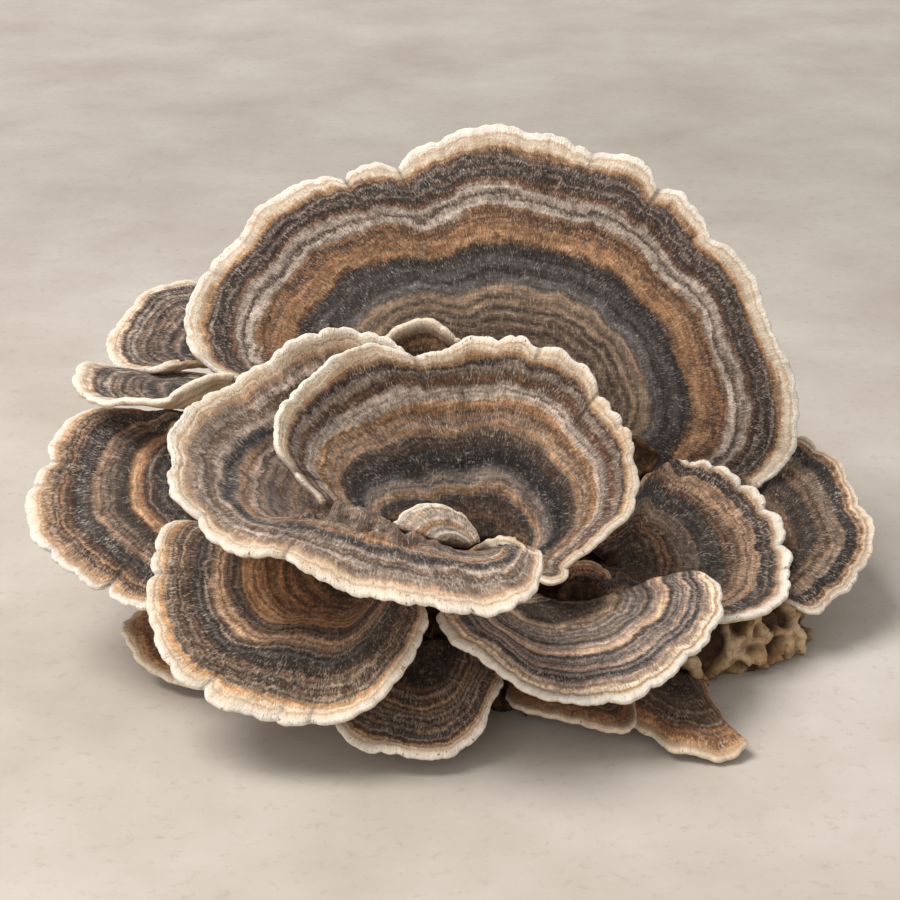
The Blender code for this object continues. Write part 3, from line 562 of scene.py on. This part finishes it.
def table_value(table, u):
    """Value of a (u, value) table, with its corners softened."""
    xs, ys = np.array(table, dtype=float).T
    return sum(share * np.interp(u + off, xs, ys) for off, share in ((-SOFT, 0.25), (0, 0.5), (SOFT, 0.25)))


def lobes(x, width, seed):
    """Round lobes with narrow notches between them, from 0 to about 1."""
    phase = x / width + 0.4 * noise_at(x / (2.3 * width), 0.3, seed)
    depth = 0.6 + 0.5 * noise_at(x / (2.9 * width), 0.7, seed)
    return 1 - np.clip(depth, 0.1, 1) * (1 - np.abs(np.sin(math.pi * phase)) ** 0.7)


def rounded(length, cell):
    """Places from 0 to length, closer together at both ends where the edge is rounded off."""
    turn = np.linspace(0, math.pi / 2, ROUND_STEPS)
    ends = ROUNDING * (1 - np.cos(turn))
    count = max(2, math.ceil((length - 2 * ROUNDING) / cell))
    middle = np.linspace(ROUNDING, length - ROUNDING, count + 1)[1:-1]
    return np.concatenate([ends, middle, (length - ends)[::-1]])


def rounded_off(distance):
    """Share of the full thickness at a distance from an edge."""
    inside = np.clip(distance / ROUNDING, 0, 1)
    return np.sqrt(1 - (1 - inside) ** 2)


def rising(value, low, high):
    """0 up to low, 1 from high on."""
    return np.clip((value - low) / (high - low), 0, 1)


class Fan:
    """A cap's smooth surface from its heart to its rim, and the grid on it.

    On the grid T runs from 0 at the heart to 1 at the rim, U is u, and A is the distance along the rim.
    """

    def __init__(self, cap):
        heart = np.array(cap["heart"], dtype=float)
        rim_points = np.array(cap["before"] + cap["rim"] + cap["after"], dtype=float)
        travelled, places = along(rim_points)
        self.length = travelled[-1]
        self.around = rounded(self.length, COLUMN)
        at = np.interp(self.around, travelled, places)
        ends = [len(cap["before"]), len(rim_points) - 1 - len(cap["after"])]
        first, last = np.interp(ends, places, travelled)
        self.shown = last - first
        self.u = (self.around - first) / self.shown
        rim = smooth_line(rim_points, at)
        loop = np.vstack([heart, rim_points])
        upper = np.sum(np.cross(loop, np.roll(loop, -1, axis=0)), axis=0)
        self.upper = upper / np.linalg.norm(upper)
        away = rim - heart
        self.reach = np.linalg.norm(away, axis=1)
        start = np.tile(heart, (len(at), 1))
        start[:, 0] += cap["root"] * away[:, 0] / self.reach
        if "waist" in cap:
            middle = smooth_line(np.array(cap["waist"] + cap["after_waist"], dtype=float), at)
        else:
            belly = cap["belly"] * np.linalg.norm(rim - start, axis=1)
            middle = (start + rim) / 2 + self.upper * belly[:, None]
        self.lines = start, middle, rim
        self.longest = self.reach.max()
        self.T = (rounded(self.longest, ROW) / self.longest)[None, :]
        self.U = self.u[:, None]
        self.A = self.around[:, None] + 0 * self.T

    def surface(self, s):
        """Points at shares s of the way to the rim."""
        s = s[..., None]
        start, middle, rim = (line[:, None] for line in self.lines)
        return start * (1 - s) * (1 - 2 * s) + middle * 4 * s * (1 - s) + rim * s * (2 * s - 1)

    def normals(self, surface):
        """Directions straight up from such points."""
        normal = np.cross(np.gradient(surface, axis=1), np.gradient(surface, axis=0))
        size = np.linalg.norm(normal, axis=2)[..., None]
        normal = np.where(size > TINY, normal / np.maximum(size, TINY), self.upper)
        normal[:, :NEAR_ROWS] = normal[:, NEAR_ROWS:NEAR_ROWS + 1]
        return normal


def scallops(fan, look, seed):
    """Shares of the way to the rim with its lobes and notches, the creases at the notches, and where painted
    shade darkens them.
    """
    cut, crease, notch_shade = np.zeros((3, len(fan.u)))
    for place, depth, half in look["notches"]:
        off = np.abs(fan.u - place)
        cut += 1.25 * depth * np.exp(-(off / (0.65 * half)) ** 1.2)
        crease += 14 * depth * np.exp(-(off * fan.shown / 0.9) ** 1.6)
        notch_shade += 25 * depth * np.exp(-(off * fan.shown / 0.4) ** 2)
    wide = 0.9 * lobes(fan.around, LOBE, seed + 1) - 0.6
    fine = 0.55 * lobes(fan.around, SMALL_LOBE, seed + 2) + 0.2 * lobes(fan.around, TOOTH, seed + 3) - 0.45
    target = table_value(look["reach"], fan.u)
    # the finer a form is, the closer to the rim it stays
    s = fan.T + (target - 1)[:, None] * fan.T ** 3
    s = s + (wide / fan.reach - cut)[:, None] * fan.T ** 5 + (fine / fan.reach)[:, None] * fan.T ** 9
    return s, crease[:, None], notch_shade[:, None]


def swellings(fan, s, look):
    """The humps of a look: a grid from 0 to 1, a height and a roughness each."""
    for place, share_out, wide_u, wide_s, height, rough in look["humps"]:
        swell = np.exp(-((fan.U - place) / wide_u) ** 2 - ((s - share_out) / wide_s) ** 2)
        yield swell, height, rough


def cap_relief(fan, s, crease, look, seed):
    """Height of the upper side over the smooth surface."""
    T, A = fan.T, fan.A
    R = fan.reach[:, None] * s
    relief = -0.5 * crease * T ** 6
    relief += 0.32 * noise_at(A / 60, T * fan.longest / 2.6, seed + 7) * np.clip(2 * T, 0, 1)
    for step, (height, across, out, power) in WAVES.items():
        relief += height * noise_at(A / across, R / out, seed + step) * T ** power
    for swell, height, rough in swellings(fan, s, look):
        lumps = noise_at(A / 5, R / 3, seed + 9) - 0.7 * np.abs(noise_at(A / 3.4 + R / 5, R / 2, seed + 10))
        relief += swell * (height + rough * lumps)
    return relief


def skin_values(fan, s, notch_shade, cap, look):
    """What the material needs to know at each point. The bands keep to growth, which the tables shift."""
    T, U, A = fan.T, fan.U, fan.A
    sway = table_value(look["sway"], fan.u)[:, None] * np.clip((1 - T) / 0.2, 0, 1)
    inner = table_value(look["inner"], fan.u)[:, None] * np.clip((0.8 - T) / 0.25, 0, 1)
    growth = T - (sway + inner) * np.clip(T / 0.3, 0, 1)
    low, high = cap["shown"]
    beyond = np.clip(np.maximum(low - U, U - high) / 0.06, 0, 1)
    growth = growth * (1 - 0.25 * beyond)
    if cap["hemmed"]:
        growth = np.maximum(growth, np.clip(1 - (fan.length - A) * T / 14, 0, 1) * (T > 0.45))
    # blotches towards the heart: partly the cap's own mottling and partly painted shade deep in the cap
    blotch_and_shade = 0.8 * np.clip((look["blotch_and_shade"] - T) / 0.15, 0, 1) + 0 * A
    for swell, _, _ in swellings(fan, s, look):
        blotch_and_shade = np.maximum(blotch_and_shade, swell)
    # mask of painted shade in the creases at the deeper notches, near the margin only
    notch_shade = np.clip(notch_shade * rising(T, 0.72, 0.87), 0, 1)
    return {"growth": growth, "around": A, "reach": fan.reach[:, None] * s, "blotch_and_shade": blotch_and_shade, "notch_shade": notch_shade}


def cap_grid(cap, look, seed):
    """Upper and under side of a cap as grids of points, with what the material needs at each."""
    fan = Fan(cap)
    s, crease, notch_shade = scallops(fan, look, seed)
    surface = fan.surface(s)
    normal = fan.normals(surface)
    relief = cap_relief(fan, s, crease, look, seed)
    thick = cap["thick"] + (RIM_THICKNESS - cap["thick"]) * np.minimum(1, THINNING * fan.T)
    reach = fan.reach[:, None]
    to_side = np.minimum(fan.A, fan.length - fan.A) * fan.T
    edges = rounded_off(np.minimum((1 - fan.T) * reach, to_side)) * rounded_off(fan.T * reach)
    sheet = surface + normal * (relief - thick / 2)[..., None]
    half = normal * (thick / 2 * edges)[..., None]
    return sheet + half, sheet - half, skin_values(fan, s, notch_shade, cap, look)


def store(mesh, key, values):
    """Numbers at the points of a mesh, for its material."""
    layer = mesh.attributes.new(key, "FLOAT", "POINT")
    layer.data.foreach_set("value", values.astype(np.float32))


def closed_mesh(name, top, under, values):
    """One closed mesh from the two sides, which share the points along their border."""
    columns, rows = top.shape[:2]
    number = np.arange(columns * rows).reshape(columns, rows)
    if np.linalg.norm(top[:, 0] - top[0, 0], axis=1).max() < 1e-6:
        number[:, 0] = number[0, 0]
    border = np.zeros((columns, rows), dtype=bool)
    border[0] = border[-1] = border[:, 0] = border[:, -1] = True
    below = np.where(border, number, number + columns * rows)
    points = np.concatenate([top.reshape(-1, 3), under.reshape(-1, 3)])

    def quads(grid):
        corners = [grid[:-1, :-1], grid[:-1, 1:], grid[1:, 1:], grid[1:, :-1]]
        return np.stack([c.ravel() for c in corners], axis=1)

    faces = np.concatenate([quads(number), quads(below)[:, ::-1]])
    used, numbered = np.unique(faces, return_inverse=True)
    # where a cap's lines meet at its heart, a face has three corners
    faces = [[v for k, v in enumerate(face) if v != face[k - 1]] for face in numbered.reshape(-1, 4).tolist()]
    mesh = bpy.data.meshes.new(name)
    mesh.from_pydata(((points[used] + CENTRING) * MM).tolist(), [], faces)
    for key, grid in values.items():
        store(mesh, key, np.concatenate([grid.ravel(), grid.ravel()])[used])
    side = np.zeros(len(faces), dtype=np.int32)
    side[(columns - 1) * (rows - 1):] = 1
    mesh.polygons.foreach_set("material_index", side)
    mesh.polygons.foreach_set("use_smooth", np.ones(len(faces), dtype=bool))
    mesh.update()
    return mesh


def paint(name):
    """One of the colours, as the shader wants it."""
    parts = [c / 255 for c in COLOURS[name]]
    return tuple(p / 12.92 if p <= 0.04045 else ((p + 0.055) / 1.055) ** 2.4 for p in parts) + (1.0,)


class Graph:
    """Short ways to add nodes to a material."""

    def __init__(self, name, seed=0.0):
        self.material = bpy.data.materials.new(name)
        self.material.use_nodes = True
        self.tree = self.material.node_tree
        self.shader = self.tree.nodes["Principled BSDF"]
        self.seed = seed
        self.stored = {}

    def put(self, node, inputs):
        """Link or set a node's inputs, by name or number."""
        for key, value in inputs.items():
            if isinstance(value, bpy.types.NodeSocket):
                self.tree.links.new(value, node.inputs[key])
            else:
                node.inputs[key].default_value = value

    def node(self, kind, inputs, output=0, **settings):
        """One output of a new node."""
        node = self.tree.nodes.new("ShaderNode" + kind)
        for key, value in settings.items():
            setattr(node, key, value)
        self.put(node, inputs)
        return node.outputs[output]

    def value(self, name):
        """A number stored on the mesh."""
        if name not in self.stored:
            self.stored[name] = self.node("Attribute", {}, "Fac", attribute_name=name)
        return self.stored[name]

    def position(self):
        """Place in the object's own space."""
        return self.node("TexCoord", {}, "Object")

    def stretched(self, *scales):
        """The place, scaled apart along each axis."""
        return self.node("VectorMath", {0: self.position(), 1: scales}, operation="MULTIPLY")

    def distance(self):
        """Distance from the root."""
        return self.node("VectorMath", {0: self.position()}, "Value", operation="LENGTH")

    def math(self, operation, *values):
        """Arithmetic."""
        return self.node("Math", dict(enumerate(values)), operation=operation)

    def times(self, first, *others):
        """A product."""
        for other in others:
            first = self.math("MULTIPLY", first, other)
        return first

    def plus(self, first, *others):
        """A sum."""
        for other in others:
            first = self.math("ADD", first, other)
        return first

    def vector(self, *values):
        """Three numbers as one vector."""
        return self.node("CombineXYZ", dict(enumerate(values)))

    def noise(self, vector, scale, detail, rough):
        """Noise, about 0.5 on average."""
        return self.node("TexNoise", {"Vector": vector, "Scale": scale, "Detail": detail, "Roughness": rough})

    def field(self, across, out, kind, detail=2.0, rough=0.5, lean=0.0):
        """Noise, another for each kind, in cells across mm wide along a cap's rim and out mm long towards it.

        lean slants the cells.
        """
        along_rim = self.math("DIVIDE", self.value("around"), across)
        if lean:
            along_rim = self.plus(along_rim, self.times(self.value("reach"), lean))
        outward = self.math("DIVIDE", self.value("reach"), out)
        return self.noise(self.vector(along_rim, outward, self.seed + kind + lean), 1.0, detail, rough)

    def cells(self, vector, scale):
        """Distance to the nearest of many scattered points."""
        return self.node("TexVoronoi", {"Vector": vector, "Scale": scale}, "Distance")

    def between(self, value, low, high, to_low=0.0, to_high=1.0):
        """Map a range onto another, held at its ends."""
        return self.node("MapRange", dict(enumerate((value, low, high, to_low, to_high))))

    def blend(self, share, a, b):
        """Two numbers blended."""
        return self.node("Mix", {0: share, 2: a, 3: b})

    def mix(self, share, a, b, mode="MIX"):
        """Two colours blended. The second may be given by its name."""
        inputs = {0: share, 6: a, 7: paint(b) if isinstance(b, str) else b}
        return self.node("Mix", inputs, 2, data_type="RGBA", blend_type=mode, clamp_factor=True)

    def ramp(self, value, stops):
        """Colour ramp from (place, colour's name) pairs, in order."""
        ramped = self.node("ValToRGB", {0: value})
        elements = ramped.node.color_ramp.elements
        while len(elements) > 1:
            elements.remove(elements[-1])
        elements[0].position = stops[0][0]
        elements[0].color = paint(stops[0][1])
        for place, colour in stops[1:]:
            elements.new(place).color = paint(colour)
        return ramped

    def zones(self, value, text):
        """Colour by a cap's zones, which take more stops than one ramp can hold."""
        words = text.split()
        stops = sorted((float(place), colour) for place, colour in zip(words[::2], words[1::2]))
        colour = self.ramp(value, stops[:MOST_STOPS])
        for first in range(MOST_STOPS - 1, len(stops) - 1, MOST_STOPS - 1):
            over = self.math("GREATER_THAN", value, stops[first][0])
            colour = self.mix(over, colour, self.ramp(value, stops[first:first + MOST_STOPS]))
        return colour

    def skin(self, colour, roughness, specular, height, strength, depth):
        """The finished material, with relief that the mesh is too coarse for."""
        bump = self.node("Bump", {"Height": height, "Strength": strength, "Distance": depth})
        self.put(self.shader, {
            "Base Color": colour, "Roughness": roughness, "Specular IOR Level": specular, "Normal": bump,
        })
        return self.material


def cap_skin(name, look, seed):
    """Velvety upper side: bands of colour across the growth, fine rings, pale hairs and a cream margin."""
    g = Graph(name + "_skin", seed * 3.7)
    growth = g.value("growth")
    # 1 near the heart, where the lines of growth run together
    near = g.between(growth, look["near"], look["near"] + 0.35, 1.0, 0.0)

    def shift(noise, most):
        """A shift of the bands by a share of the growth."""
        return g.between(noise, *WIDE, -most, most)

    waves = g.plus(
        shift(g.field(11, 22, 1), 0.016), shift(g.field(3, 1.4, 10, 3, 0.6), 0.010),
        shift(g.field(13, 2.4, 15, 3, 0.55), 0.020),
    )
    waves = g.times(waves, g.blend(near, 1.0, 0.3))
    strands = g.blend(near, shift(g.field(1.4, 9, 2, 3, 0.6), 0.012), 0.0)
    grains = shift(g.field(0.24, 0.45, 3, 2, 0.7), 0.011)
    # the margin's own edge stays where it is
    loose = g.between(growth, 0.90, 0.985, 1.0, 0.35)
    shifted = g.math("MULTIPLY_ADD", g.plus(waves, strands, grains), loose, growth)
    # blotches: partly mottling and, towards the heart, painted shade
    blotches = g.ramp(g.field(2.6, 1.5, 20, 4, 0.65), look["blotches"])
    banded = g.mix(g.times(g.value("blotch_and_shade"), 0.85), g.zones(shifted, look["zones"]), blotches)

    # 1 on the margin's plain cream, where the rest of the texture is fainter
    margin = g.between(shifted, 0.91, 0.965)
    inner = g.math("SUBTRACT", 1.0, margin)
    ringed = g.vector(g.math("DIVIDE", g.value("around"), 24), g.times(shifted, look["rings"]), g.seed + 4)
    rings = g.between(g.noise(ringed, 1.0, 3, 0.72), *CORE, 0.54, 1.48)
    uneven = look["patchy"]
    patches = g.between(g.field(6, 3.2, 11, 3, 0.6), *CORE, 1 - 0.22 * uneven, 1 + 0.2 * uneven)
    streaks = g.between(g.field(1.4, 9, 14, 3, 0.6), *CORE, 1 - 0.24 * uneven, 1 + 0.22 * uneven)
    threads = g.between(g.field(7, 0.42, 16, 3, 0.7), *CORE, 0.70, 1.32)
    clots = g.blend(near, g.field(1.7, 1.3, 5, 4, 0.7), g.noise(g.position(), 640, 4, 0.7))
    mottle = g.between(clots, *CORE, 0.70, 1.30)
    # pale hairs in two leanings; near the heart they keep to directions in space
    leaning = [g.field(0.33, 0.95, 6, 2, 0.65, lean) for lean in HAIR_LEANS]
    crossing = [g.noise(g.stretched(*scales), 1.0, 2, 0.65) for scales in HAIR_SCALES]
    hair = g.blend(near, g.math("MAXIMUM", *leaning), g.math("MAXIMUM", *crossing))
    hair = g.math("SUBTRACT", hair, g.blend(near, 0.05, 0.03))
    fuzz = g.between(hair, 0.34, 0.68, 0.5, 1.5)
    shade = g.times(rings, mottle, fuzz, patches, g.blend(near, streaks, 1.0), threads, inner)
    pleated = g.times(g.between(g.field(0.55, 5, 12, 3, 0.7), *CORE, 0.80, 1.06), margin)
    # the tint carries painted light and shade as well as each cap's own tone
    tinted_and_lit = [g.math("MULTIPLY_ADD", shade, share, pleated) for share in look["tint_and_light"]]
    colour = g.mix(1.0, banded, g.vector(*tinted_and_lit), "MULTIPLY")

    # frost of pale hairs, in tufts
    tufts = g.between(g.field(2.6, 2.2, 7, 3, 0.6), 0.34, 0.66, 0.15, 1.0)
    tufts = g.times(tufts, g.between(growth, 0.15, 0.42, 0.3, 1.0))
    lifted = g.math("MULTIPLY_ADD", tufts, 0.05, hair)
    colour = g.mix(g.times(g.between(lifted, 0.555, 0.685, 0.0, 0.86), tufts, inner), colour, "frost")
    # small brown specks on the margin, a warm stain in its folds, and painted shade in the creases under the
    # deeper notches
    specks = g.between(g.field(0.5, 0.6, 9, 1, 0.5), 0.68, 0.76, 0.0, 0.8)
    colour = g.mix(g.times(specks, g.between(growth, 0.93, 0.97)), colour, "speck")
    stain = g.between(g.field(2.6, 8, 13, 3, 0.6), 0.52, 0.72, 0.0, 0.45)
    colour = g.mix(g.times(stain, g.between(growth, 0.88, 0.95)), colour, "stain")
    colour = g.mix(g.times(g.value("notch_shade"), 0.75), colour, "crease")

    g.put(g.shader, {"Sheen Weight": 0.1, "Sheen Roughness": 0.5})
    height = g.plus(g.times(rings, 0.9), g.times(mottle, 0.6), g.times(hair, 1.2), pleated)
    return g.skin(colour, g.between(mottle, 0.7, 1.2, 0.95, 0.8), 0.2, height, 0.8, 0.35 * MM)


def pore_skin():
    """Cream underside with fine pores, faint zones and rays."""
    g = Graph("pore_side", 1)
    place = g.position()
    pores = g.cells(place, 2600)
    patches = g.noise(place, 180, 3, 0.6)
    stained = g.plus(
        g.between(patches, *CORE, 0.0, 0.3), g.between(g.field(30, 2.4, 0, 3, 0.6), 0.42, 0.7, 0.0, 0.4),
        g.between(g.field(1.6, 12, 5, 3, 0.6), 0.5, 0.75, 0.0, 0.25),
    )
    stops = [(0, "pore_heart"), (0.45, "pore_middle"), (0.9, "pore_outer"), (1, "pore_rim")]
    colour = g.mix(stained, g.ramp(g.value("growth"), stops), "pore_stain")
    colour = g.mix(g.between(pores, 0.0, 0.32, 0.55, 0.0), colour, "pore")
    return g.skin(colour, g.between(patches, *CORE, 0.95, 0.85), 0.25, pores, 0.5, 0.2 * MM)


def base_skin():
    """Cream and tan tissue of the base, brown away from its outside, partly its own colour and partly painted
    shade under the caps, with painted shade in the hollows between its folds.
    """
    g = Graph("base_tissue")
    patches = g.noise(g.position(), 120, 4, 0.6)
    fine = g.noise(g.position(), 900, 4, 0.65)
    pale = g.ramp(patches, [(0.3, "flesh_dark"), (0.5, "flesh"), (0.7, "flesh_pale")])
    # brown away from the outside: partly the base's own colour and partly painted shade under the caps
    brown = g.ramp(patches, [(0.3, "bark_shade_dark"), (0.5, "bark_shade"), (0.7, "bark_shade_pale")])
    colour = g.mix(g.value("outer"), brown, pale)
    # painted shade in the hollows between the folds
    colour = g.mix(g.between(g.value("hollow_shade"), 0.2, 0.72, 0.0, 0.95), colour, "pit_shade")
    colour = g.mix(g.between(fine, 0.48, 0.66, 0.0, 0.6), colour, "fleck")
    return g.skin(colour, g.between(fine, *CORE, 0.95, 0.85), 0.25, fine, 0.8, 0.4 * MM)


def placed(name, data):
    """A new object in the scene."""
    thing = bpy.data.objects.new(name, data)
    bpy.context.scene.collection.objects.link(thing)
    return thing


def dress(node, mesh, materials):
    """A visible piece for one of the solids."""
    piece = placed(mesh.name, mesh)
    for material in materials:
        mesh.materials.append(material)
    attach(piece, "root")
    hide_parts(node)


def build_caps():
    """Every cap as one closed piece."""
    under_skin = pore_skin()
    for seed, (name, cap) in enumerate(CAPS.items()):
        look = {**PLAIN_LOOK, **LOOKS[LIKE.get(name, name)]}
        top, under, values = cap_grid({**PLAIN_CAP, **cap}, look, seed * 11)
        look["rings"] = float(values["reach"].max()) / RING_WIDTH
        mesh = closed_mesh(name + "_look", top, under, values)
        dress(name, mesh, [cap_skin(name, look, seed), under_skin])


def build_ridge(tissue):
    """Ridge of dark tissue between the back cap and the right one, all brown: partly the tissue's own colour
    and partly painted shade in the gap there.
    """
    cap = {
        **PLAIN_CAP, "heart": (27, 1, 22), "belly": 0.1, "thick": 2.4,
        "rim": [
            (23, 3, 30), (26, 4, 33.2), (29.3, 5, 32), (32.5, 5.5, 29.8), (34.8, 5.5, 27.8), (33, 4, 25.5),
        ],
    }
    look = {**PLAIN_LOOK, "humps": [(.5, .8, .3, .5, .3, 2.5)]}
    top, under, values = cap_grid(cap, look, RIDGE_SEED)
    # painted shade in patches over the ridge
    values["hollow_shade"] = np.clip(0.6 + 0.8 * noise_at(values["around"] / 2.5, values["reach"] / 5, 41), 0, 1)
    # no pale flesh on the ridge: its brown is partly painted shade
    values["outer"] = 0 * values["around"]
    dress("base", closed_mesh("base_ridge_look", top, under, values), [tissue, tissue])


def rows_of(points, key):
    """Three numbers for each point of a mesh, as rows."""
    flat = np.empty(len(points) * 3, dtype=np.float32)
    points.foreach_get(key, flat)
    return flat.reshape(-1, 3).astype(float)


def crests(points):
    """Narrow crests, 1 along their tops, with flat hollows between them."""
    return np.clip(1 - 3.6 * np.abs(noise(points)), 0, 1)


def build_base(tissue):
    """The gnarled base: the solid's own shape, with folds, ripples and pits, and lumps at the rear."""
    solid = placed("base_copy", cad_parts["base"].data.copy())
    finer = solid.modifiers.new("finer", "REMESH")
    finer.mode = "VOXEL"
    finer.voxel_size = VOXEL * MM
    mesh = bpy.data.meshes.new_from_object(solid.evaluated_get(bpy.context.evaluated_depsgraph_get()))
    bpy.data.objects.remove(solid)
    mesh.name = "base_look"
    mesh.materials.clear()

    mm = rows_of(mesh.vertices, "co") / MM
    x, y, z = mm.T
    warp = np.stack([noise(mm / 7 + k * 17) for k in range(3)], axis=1) * 3.0
    folded = (mm + warp) * [1.0, 1.0, 0.6]
    folds = crests(folded / FOLD_WIDTH)
    ripples = crests(folded / RIPPLE_WIDTH + 9)
    rear = rising(y, 10, 16)
    lumps = np.clip(noise(mm / LUMP_WIDTH + 31) + 0.25, 0, 1) * rear
    height = FOLD_HEIGHT * folds + RIPPLE_HEIGHT * ripples + LUMP_HEIGHT * lumps - HOLLOWED
    # the flat cut keeps its place
    height = height * rising(z, -0.3, 1.2)
    moved = mm + rows_of(mesh.vertex_normals, "vector") * height[:, None]
    moved[:, 2] = np.maximum(moved[:, 2], 0)
    mesh.vertices.foreach_set("co", (moved * MM).astype(np.float32).ravel())
    # mask of painted shade: the hollows between the folds
    store(mesh, "hollow_shade", 1 - np.clip(0.9 * folds + 0.35 * ripples, 0, 1))

    # pale flesh low down on the right and at the rear, and patches of it higher up there; elsewhere the base
    # stays brown, partly its own colour and partly painted shade under the caps
    low = (1 - rising(z, 8, 17)) * np.maximum(rising(x, 22, 30), rising(y, 8, 16))
    high = rear * np.clip(0.45 + 0.9 * noise(mm / 6 + 53), 0, 0.8)
    store(mesh, "outer", np.maximum(low, high))
    mesh.polygons.foreach_set("use_smooth", np.ones(len(mesh.polygons), dtype=bool))
    mesh.update()
    dress("base", mesh, [tissue])


def build_stage():
    """Plain pale floor with painted light: a little darker a short way off, and brighter in the distance,
    where the lamps' light falls off.
    """
    g = Graph("studio")
    cloudy = g.between(g.noise(g.position(), 22, 5, 0.62), *CORE)
    speckled = g.between(g.noise(g.position(), 420, 3, 0.7), 0.56, 0.76, 0.0, 0.4)
    stone = g.mix(speckled, g.mix(cloudy, paint("stone_dark"), "stone"), "grit")
    # painted light over the stone: darker a short way off, then brighter far away
    painted_falloff = g.times(g.between(g.distance(), 0.1, 0.26, 1.0, 0.88), g.between(g.distance(), 0.3, 1.1, 1.0, 2.25))
    stone = g.mix(1.0, stone, g.vector(painted_falloff, painted_falloff, painted_falloff), "MULTIPLY")
    g.put(g.shader, {"Base Color": stone, "Roughness": 0.9, "Specular IOR Level": 0.2})
    mesh = bpy.data.meshes.new("floor")
    corners = [(-1, -1), (1, -1), (1, 1), (-1, 1)]
    mesh.from_pydata([(x * FLOOR, y * FLOOR, 0) for x, y in corners], [], [(0, 1, 2, 3)])
    mesh.materials.append(g.material)
    mesh.update()
    placed("floor", mesh)


def area_light(name, place, size, power, colour):
    """Soft square light that shines on the cluster."""
    data = bpy.data.lights.new(name, "AREA")
    data.shape = "SQUARE"
    data.size = size
    data.energy = power
    data.color = colour
    lamp = placed(name, data)
    lamp.location = place
    lamp.rotation_euler = (Vector(place) - Vector(AIM)).to_track_quat("Z", "Y").to_euler()


def build_light():
    """Soft studio light from the upper left."""
    world = bpy.data.worlds.new("studio_air")
    world.use_nodes = True
    background = world.node_tree.nodes["Background"]
    background.inputs["Color"].default_value = (1.0, 0.98, 0.95, 1.0)
    background.inputs["Strength"].default_value = 0.52
    bpy.context.scene.world = world
    bpy.context.scene.view_settings.view_transform = "Standard"
    area_light("key", (-0.42, -0.14, 0.85), 0.46, 9.5, (1.0, 0.97, 0.93))
    area_light("fill", (-0.36, -0.8, 0.36), 0.7, 2.0, (1.0, 0.98, 0.96))


def build_camera():
    """The camera at the photograph's angle."""
    data = bpy.data.cameras.new("camera")
    data.lens = 90.0
    data.sensor_width = 36.0
    data.clip_start = 0.01
    camera = placed("camera", data)
    camera.location = (-0.0010, -0.32794, 0.17996)
    camera.rotation_euler = (math.radians(66.0), 0.0, 0.0)
    bpy.context.scene.camera = camera


build_caps()
base_tissue = base_skin()
build_base(base_tissue)
build_ridge(base_tissue)
build_stage()
build_light()
build_camera()
